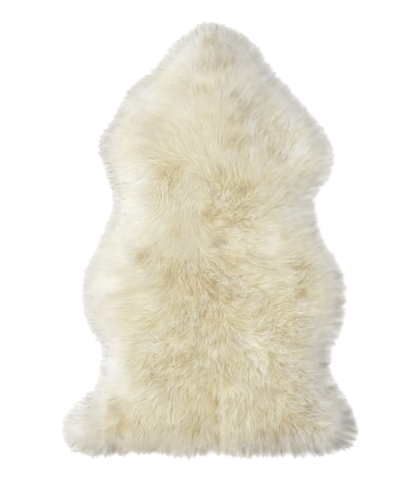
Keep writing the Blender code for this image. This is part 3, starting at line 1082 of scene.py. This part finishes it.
def by_facing(row):
    """The sum of a row's values, each as far as it holds for the wisp's tuft."""
    return sum(value * facing[name] for name, value in zip(FACING_COLUMNS, row))


aside = ((tuft_xy[:, None] - path[:, :, :2]) * tuft_side[:, None]).sum(2)
off_middle = np.clip(np.abs(aside[:, -1]) / tuft_half, 0, 1.3)
drawn = by_facing(DRAWN)[:, None] * smooth((TUFT_DEPTH - depth_along) / (TUFT_DEPTH + 4 * MM))
drawn *= smooth((2.2 * tuft_half[:, None] - np.abs(aside)) / tuft_half[:, None])
lean = MM * (by_facing(LEAN) * tuft_lean)[:, None] * smooth((12 * MM - depth_along) / (24 * MM))
path[:, :, :2] += tuft_side[:, None] * (aside * drawn + lean)[:, :, None]
print("drawn to the middle of the tuft:", drawn[:, -1].mean().round(2), "of the way at the tips")

# %% Where each wisp ends
SINGLE_SHARE = 0.06  # the share of wisps that reach past their tuft as single fibres do,
SINGLE_REACH = (2, 7)  # by so many mm
tooth = by_facing(TOOTH) * np.clip(tuft_half / (4.5 * MM), 0.5, 1.4)
reach = by_facing(REACH) + patch_sum(tuft_xy, REACH_COLUMNS, REACHES, "reach")
limit = MM * (tooth * (off_middle + (0.5 - 0.22 * facing_down) * tuft_long) - reach)
uneven = (1.6 - 1.0 * facing_down) * rng.normal(0, 1, wisps)
further = (2.4 - 1.4 * facing_down) * rng.exponential(1, wisps)
limit += MM * (uneven - further)
limit -= MM * rng.uniform(*SINGLE_REACH, wisps) * (rng.uniform(0, 1, wisps) < SINGLE_SHARE)
passed = depth_along < limit[:, None]
allowed = np.where(passed.any(1), np.argmax(passed, 1), STEPS) / STEPS
print("wisps cut short:", int((allowed < 1).sum()))

# %% [markdown]
# ## Strands
#
# Each wisp is a handful of strands round its path. Where the wool curls they are drawn together towards
# the tip, which gives pointed tufts. Where it is brushed smooth they stay apart and lie side by side, and
# calm wool has broader strands that are lit from straight above, so that it looks soft and plain.
# Straight strands need few corners, curled ones more. Real wool has thousands of fibres to the square
# centimetre, and here one flat strand stands for about a hundred of them, which keeps the mesh small.

# %% Strands round each wisp
STRANDS = 3  # to a wisp
# How far along a strand its corners lie, for straight, wavy and curled ones.
STOPS = (
    (0.0, 0.35, 0.68, 1.0),
    (0.0, 0.22, 0.43, 0.63, 0.82, 1.0),
    (0.0, 0.19, 0.37, 0.54, 0.7, 0.85, 1.0),
)
KIND_FROM = (0.25, 0.60)  # the curliness from which a wisp is wavy, and from which it is curled
STRAND_WIDTH = 0.62 * MM
kind = np.digitize(curliness, KIND_FROM)

wisp_of = np.repeat(np.arange(wisps), STRANDS)  # the number of each strand's wisp
count = len(wisp_of)
# In a long tuft the strands run right up to the wisp's limit. Elsewhere they end at uneven places.
in_tooth = ((allowed < 1) * np.minimum(facing_down + 0.9 * spiky, 1))[wisp_of]
share_kept = rng.uniform(0.84, 1.0, count) * (0.84 - 0.38 * curliness[wisp_of])
share_of_wisp = allowed[wisp_of] * (share_kept + 0.75 * in_tooth * (1 - share_kept))
share_of_wisp -= 0.10 * np.abs(rng.normal(0, 1, count)) * (allowed[wisp_of] < 1) * (1 - 0.6 * in_tooth)
share_of_wisp = np.maximum(share_of_wisp, 0.05)
# How far each strand lies beside its wisp's path at the root and at the tip, and how far over it.
side_root = rng.normal(0, 1, count) * (2.0 - 1.1 * np.minimum(2 * curliness[wisp_of], 1)) * MM
side_tip = side_root * (0.85 - 0.6 * curliness[wisp_of]) * (1 - 0.6 * in_tooth)
side_tip += rng.normal(0, 0.3, count) * MM
lift = rng.uniform(-0.7, 0.7, count) * MM * (0.2 + 0.8 * curliness[wisp_of])

# Each wisp and each strand has its own tone, and what is darker is also warmer.
own_shade = (0.05 * curliness * lock_shade + rng.normal(0, 0.19, wisps) * (0.02 + crisp))[wisp_of]
own_shade += rng.normal(0, 0.08, count) * (0.05 + 0.95 * crisp[wisp_of])
own_warmth = (0.06 * curliness * lock_warmth + rng.normal(0, 0.09, wisps) * (0.2 + curliness))[wisp_of]
own_warmth = own_warmth + rng.normal(0, 0.03, count)
own_warmth -= 0.5 * own_shade
print("strands:", count, "of which straight, wavy and curled:", np.bincount(kind[wisp_of]))

# %% Corners, normals and tones of the strands
# How far the normals turn outwards across a wisp, a lock and a single strand.
WISP_ROUND = 0.30
LOCK_ROUND = 0.30
FIBRE_ROUND = 0.25
WISP_HALF = 1.1 * MM  # strands this far from the path lie at the wisp's side
TAPER = ((0, 0.8), (0.2, 1.0), (0.7, 0.85), (1.0, 0.0))  # how far along a strand, and how wide it is
CHART_EDGES = (0.02, 0.97)  # tones keep this far inside the chart
CHART_SLOT = 0.006  # in the chart a strand's two sides lie this far off its middle


def strand_arrays(chosen, stops):
    """Corners, normals and chart places of the chosen strands' ribbons."""
    wisp = wisp_of[chosen]
    n, m = len(chosen), len(stops)
    # Places on the wisp's path, and which ways are up, ahead and to the side there.
    at = np.clip(stops[None] * share_of_wisp[chosen][:, None] * STEPS, 0, STEPS - 1e-6)
    k = np.floor(at).astype(int)
    f = (at - k)[:, :, None]
    row = wisp[:, None]
    centre = path[row, k] * (1 - f) + path[row, k + 1] * f
    up = unit(path_normal[row, k] * (1 - f) + path_normal[row, k + 1] * f)
    ahead = unit(path[row, k + 1] - path[row, k])
    up[:, :, 2] += 1.2 + 0.8 * calm[wisp][:, None]
    up = unit(up - ahead * (up * ahead).sum(2, keepdims=True))
    side = np.cross(up, ahead)
    # The strand's own middle line, beside the path.
    grown = smooth(stops)[None]
    off = side_root[chosen][:, None] * (1 - grown) + side_tip[chosen][:, None] * grown
    high = lift[chosen][:, None] * smooth(stops * 2)[None]
    line = centre + side * off[:, :, None] + up * high[:, :, None]
    line[:, :, 2] = np.maximum(line[:, :, 2], FLOOR_REST * 0.8)
    # The ribbon's two sides, which taper and meet at the tip.
    roll = (rng.normal(0, 0.45, n) * (0.12 + 0.88 * curliness[wisp]))[:, None, None]
    across = side * np.cos(roll) + up * np.sin(roll)
    taper = np.interp(stops, *zip(*TAPER))
    half = 0.5 * STRAND_WIDTH * rng.uniform(0.7, 1.25, n)
    half *= 1.2 - 0.2 * curliness[wisp] + 0.45 * calm[wisp]
    half *= 1 - 0.2 * (allowed[wisp] < 1)
    half = half[:, None, None] * taper[None, :, None]
    left, right = line + across * half, line - across * half
    corners = np.zeros((n, 2 * m - 1, 3))
    corners[:, 0:-1:2], corners[:, 1:-1:2], corners[:, -1] = left[:, :-1], right[:, :-1], line[:, -1]
    # Normals that turn outwards as on round wisps, locks and fibres.
    curled = (0.15 + 1.1 * curliness[wisp])[:, None, None]
    lock_off = np.zeros((n, 1, 3))
    lock_off[:, 0, :2] = (start_xy - lock_xy)[wisp] / LOCK_CELL
    wisp_off = np.clip(side_root[chosen] / WISP_HALF, -1.5, 1.5)[:, None, None]
    face = up + curled * (side * wisp_off * WISP_ROUND)
    face = unit(face + curled * lock_off * LOCK_ROUND)
    normals = np.zeros_like(corners)
    bend = across * (FIBRE_ROUND * curled)
    normals[:, 0:-1:2] = (face + bend)[:, :-1]
    normals[:, 1:-1:2] = (face - bend)[:, :-1]
    normals[:, -1] = face[:, -1]
    # Tones: the wool's at that place, the strand's own, and painted shade that makes it darker and warmer
    # deep down.
    stop = np.append(np.repeat(np.arange(m - 1), 2), m - 1)
    chart = np.zeros((n, 2 * m - 1, 2))
    deep_shade = (1 - smooth(stops / 0.8))[None] * (0.06 + 1.1 * crisp[wisp])[:, None]
    place = line.reshape(-1, 3)[:, :2]
    shade = shade_of(place).reshape(n, m) + own_shade[chosen][:, None] - 0.22 * deep_shade
    warmth = warmth_of(place).reshape(n, m) + own_warmth[chosen][:, None] + 0.40 * deep_shade
    chart[:, :, 0], chart[:, :, 1] = shade[:, stop], warmth[:, stop]
    chart = np.clip(chart, *CHART_EDGES)
    chart[:, 0:-1:2, 1] -= CHART_SLOT
    chart[:, 1:-1:2, 1] += CHART_SLOT
    return corners, unit(normals), chart


# %% [markdown]
# ## Ribbons
#
# Each strand becomes a narrow ribbon that tapers to a point. Its corners are joined by four-sided faces
# and a last triangle. Modelling it by hand and copying it would take an operator call for each of more
# than a hundred thousand strands, so all the strands of a region are one mesh, written as arrays in one
# go. The normals are taken from the fleece's layers, so the ribbons shade as soft round fibres and not
# as flat tape. The wool is cut into five regions with about the same number of triangles each.

# %% Ribbons
def faces_of(count_of_strands, corners, first):
    """Corner numbers and face sizes of ribbons with this many corners each."""
    quads = np.array([(k, k + 1, k + 3, k + 2) for k in range(0, corners - 3, 2)])
    one = np.concatenate([quads.ravel(), [corners - 3, corners - 2, corners - 1]])
    loops = (np.arange(count_of_strands)[:, None] * corners + one[None]).ravel() + first
    return loops, np.tile(np.array([4] * len(quads) + [3]), count_of_strands)


def mesh_from(name, corners, normals, chart, loops, sizes):
    """A smooth mesh from arrays, with its normals and its colour chart."""
    mesh = bpy.data.meshes.new(name)
    mesh.vertices.add(len(corners))
    mesh.vertices.foreach_set("co", corners.astype(np.float32).ravel())
    mesh.loops.add(len(loops))
    mesh.loops.foreach_set("vertex_index", loops.astype(np.int32))
    mesh.polygons.add(len(sizes))
    loop_starts = np.concatenate([[0], np.cumsum(sizes)[:-1]])
    mesh.polygons.foreach_set("loop_start", loop_starts.astype(np.int32))
    mesh.polygons.foreach_set("use_smooth", np.ones(len(sizes), bool))
    mesh.update(calc_edges=True)
    chart_layer = mesh.uv_layers.new(name=CHART)
    chart_layer.uv.foreach_set("vector", chart[loops].astype(np.float32).ravel())
    mesh.normals_split_custom_set_from_vertices(normals.astype(np.float32))
    mesh.materials.append(wool)
    piece = bpy.data.objects.new(name, mesh)
    scene.collection.objects.link(piece)
    return piece


def ribbons(name, chosen):
    """One piece of wool from the chosen strands: the straight, the wavy and the curled ones."""
    arrays = [[], [], [], [], []]
    first = 0
    for number, stops in enumerate(STOPS):
        part = chosen[kind[wisp_of[chosen]] == number]
        corners, normals, chart = strand_arrays(part, np.array(stops))
        loops, sizes = faces_of(len(part), corners.shape[1], first)
        first += corners.shape[0] * corners.shape[1]
        found = (corners.reshape(-1, 3), normals.reshape(-1, 3), chart.reshape(-1, 2), loops, sizes)
        for kept, new in zip(arrays, found):
            kept.append(new)
    return mesh_from(name, *(np.concatenate(parts) for parts in arrays))


# %% The five regions
REGIONS = ("rump_wool", "flank_wool", "waist_wool", "shoulder_wool", "neck_wool")
cost = np.array([2 * len(stops) - 3 for stops in STOPS])[kind]  # a strand's triangles
order = np.argsort(start_xy[:, 1])
region = np.zeros(wisps, int)
region[order] = np.minimum(np.cumsum(cost[order]) * len(REGIONS) // cost.sum(), len(REGIONS) - 1)
wool_pieces = [ribbons(name, np.flatnonzero(region[wisp_of] == k)) for k, name in enumerate(REGIONS)]
for piece in wool_pieces:
    triangles = sum(len(p.vertices) - 2 for p in piece.data.polygons)
    print(piece.name, triangles, "triangles")

# %% [markdown]
# ## Felt
#
# Under the long strands lies a dense felt of fine short wool, which closes every gap between them. It
# starts from a merged copy of the CAD body, is remeshed evenly, moved on to the felt's layer and then
# dented by soft noise. More strands could close the gaps too, but they would double the mesh for wool
# that is hardly seen.

# %% Felt
FELT_VOXEL = 0.0052
FELT_FLOOR = 0.0024  # the felt's underside lies this high, just over the skin
FELT_INSET = 0.002
UNDER_DEPTH = 0.022  # the body's roll is taken to be this deep under the lip
DENTS_FROM = 0.02  # the felt is dented where it is higher than this,
DENTS_FADE = 0.02  # and fully so from this much further up


def felt_body():
    """An even mesh of the CAD body."""
    bpy.ops.object.select_all(action="DESELECT")
    mesh = rug.data.copy()
    mesh.materials.clear()
    piece = bpy.data.objects.new("underwool", mesh)
    scene.collection.objects.link(piece)
    piece.select_set(True)
    bpy.context.view_layer.objects.active = piece
    bpy.ops.object.mode_set(mode="EDIT")
    bpy.ops.mesh.select_all(action="SELECT")
    bpy.ops.mesh.remove_doubles(threshold=SAME_PLACE)
    bpy.ops.object.mode_set(mode="OBJECT")
    mesh.remesh_voxel_size = FELT_VOXEL
    bpy.ops.object.voxel_remesh()
    return piece


def shape_felt(piece):
    """Moves the mesh on to the felt's layer, dents it and gives it its tones, which hold painted shade."""
    mesh = piece.data
    co = np.zeros(len(mesh.vertices) * 3, np.float32)
    mesh.vertices.foreach_get("co", co)
    co = co.reshape(-1, 3).astype(float)
    xy, z = co[:, :2], co[:, 2]
    out, across = way_out(xy), np.clip(ROLL_CENTRE - depth_of(xy), 0, None)
    over, under = FELT_OVER / (FLEECE_HEIGHT - LIP_HEIGHT), FELT_UNDER / UNDER_DEPTH
    z = LIP_HEIGHT + (z - LIP_HEIGHT) * np.where(z > LIP_HEIGHT, over, under)
    inwards = across * (1 - (FELT_RADIUS - set_back(xy)) / ROLL_CENTRE) + FELT_INSET
    xy = xy - out * inwards[:, None]
    bump = 0.7 * soft_noise(xy, 0.007, 41) + 1.0 * soft_noise(xy, 0.014, 42) - 1.7
    z = z + bump * MM * smooth((z - DENTS_FROM) / DENTS_FADE)
    co = np.column_stack([xy, np.maximum(z, FELT_FLOOR)])
    mesh.vertices.foreach_set("co", co.astype(np.float32).ravel())
    mesh.update()
    mesh.polygons.foreach_set("use_smooth", np.ones(len(mesh.polygons), bool))
    corner = np.zeros(len(mesh.loops), np.int32)
    mesh.loops.foreach_get("vertex_index", corner)
    jitter = rng.uniform(-1, 1, (2, len(xy)))
    curl = curl_of(xy)
    # The felt is painted darker and warmer than the wool, most where it curls: painted shade deep in the
    # fleece.
    shade = shade_of(xy) - 0.04 - 0.22 * curl + 0.04 * jitter[0]
    warmth = warmth_of(xy) + 0.06 + 0.34 * curl + 0.04 * jitter[1]
    chart = np.clip(np.column_stack([shade, warmth]), *CHART_EDGES)
    for old in list(mesh.uv_layers):
        mesh.uv_layers.remove(old)
    chart_layer = mesh.uv_layers.new(name=CHART)
    chart_layer.uv.foreach_set("vector", chart[corner].astype(np.float32).ravel())
    mesh.materials.append(wool)


under = felt_body()
shape_felt(under)
print("underwool faces:", len(under.data.polygons))

# %% [markdown]
# ## The skin
#
# The real skin is tanned, and its underside is taken to be pale suede. It is one sheet about 2 mm thick,
# trimmed with a knife, so its edge waves a little, and it ends inside the wool that hangs over it. A flat
# disc whose edge is moved on to that line gives the shape in a few faces, and a Solidify modifier gives
# the thickness. Two noise textures tint it in clouds and give it its grain.

# %% Skin
SKIN_INSET = 0.026
SKIN_THICKNESS = 0.0022
SKIN_POINTS = 260
TRIM_WAVE = 0.004  # how far the knife strays,
TRIM_CELL = 0.05  # over lengths like this
DISC_RADIUS = 0.3
SUEDE = ((0.3, 0.66, 0.56, 0.42), (0.7, 0.80, 0.72, 0.58))  # columns: share of cloud, red, green, blue


def leather_material():
    """Pale suede: a clouded tint and a fine grain."""
    material = bpy.data.materials.new("leather")
    material.use_nodes = True
    nodes, links = material.node_tree.nodes, material.node_tree.links
    shader = nodes["Principled BSDF"]
    place = node_of(nodes, "TexCoord", (-900, 0))
    cloud = node_of(nodes, "TexNoise", (-600, 0), Scale=14.0, Detail=6.0)
    tint = ramp(nodes, SUEDE, (-300, 0))
    grain = node_of(nodes, "TexNoise", (-600, -300), Scale=900.0, Detail=3.0)
    bump = node_of(nodes, "Bump", (-300, -300), Strength=0.35, Distance=0.0005)
    links.new(place.outputs["Object"], cloud.inputs["Vector"])
    links.new(place.outputs["Object"], grain.inputs["Vector"])
    links.new(cloud.outputs["Fac"], tint.inputs["Fac"])
    links.new(tint.outputs["Color"], shader.inputs["Base Color"])
    links.new(grain.outputs["Fac"], bump.inputs["Height"])
    links.new(bump.outputs["Normal"], shader.inputs["Normal"])
    shader.inputs["Roughness"].default_value = 0.85
    return material


def skin():
    """The skin as one flat sheet on the floor."""
    ring, _ = spaced_ring(outline, SKIN_POINTS)
    ring = ring - way_out(ring) * SKIN_INSET
    ring += way_out(ring) * (soft_noise(ring, TRIM_CELL, 51) * TRIM_WAVE)[:, None]
    bpy.ops.object.select_all(action="DESELECT")
    bpy.ops.mesh.primitive_circle_add(vertices=len(ring), radius=DISC_RADIUS, fill_type="NGON")
    piece = bpy.context.object
    piece.name = piece.data.name = "hide"
    for vertex, (x, y) in zip(piece.data.vertices, ring):
        vertex.co = (x, y, SKIN_THICKNESS)
    solid = piece.modifiers.new("thickness", "SOLIDIFY")
    solid.thickness = SKIN_THICKNESS
    solid.offset = -1
    bpy.ops.object.modifier_apply(modifier=solid.name)
    piece.data.materials.append(leather_material())
    return piece


hide = skin()
bm = bmesh.new()
bm.from_mesh(hide.data)
hide_area = max(f.calc_area() for f in bm.faces)
bm.free()
print("skin area, m2:", round(hide_area, 4))

# %% [markdown]
# ## What each piece is
#
# Each piece is tied to the body it rides on. The rug is one body, so all the pieces ride the root. The
# skin stands in for the CAD body, which is hidden.

# %% Tie each piece to its body
for piece in (*wool_pieces, under):
    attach(piece, "root")
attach(hide, "root")
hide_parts("sheepskin")
print("pieces:", [piece.name for piece in (*wool_pieces, under, hide)])
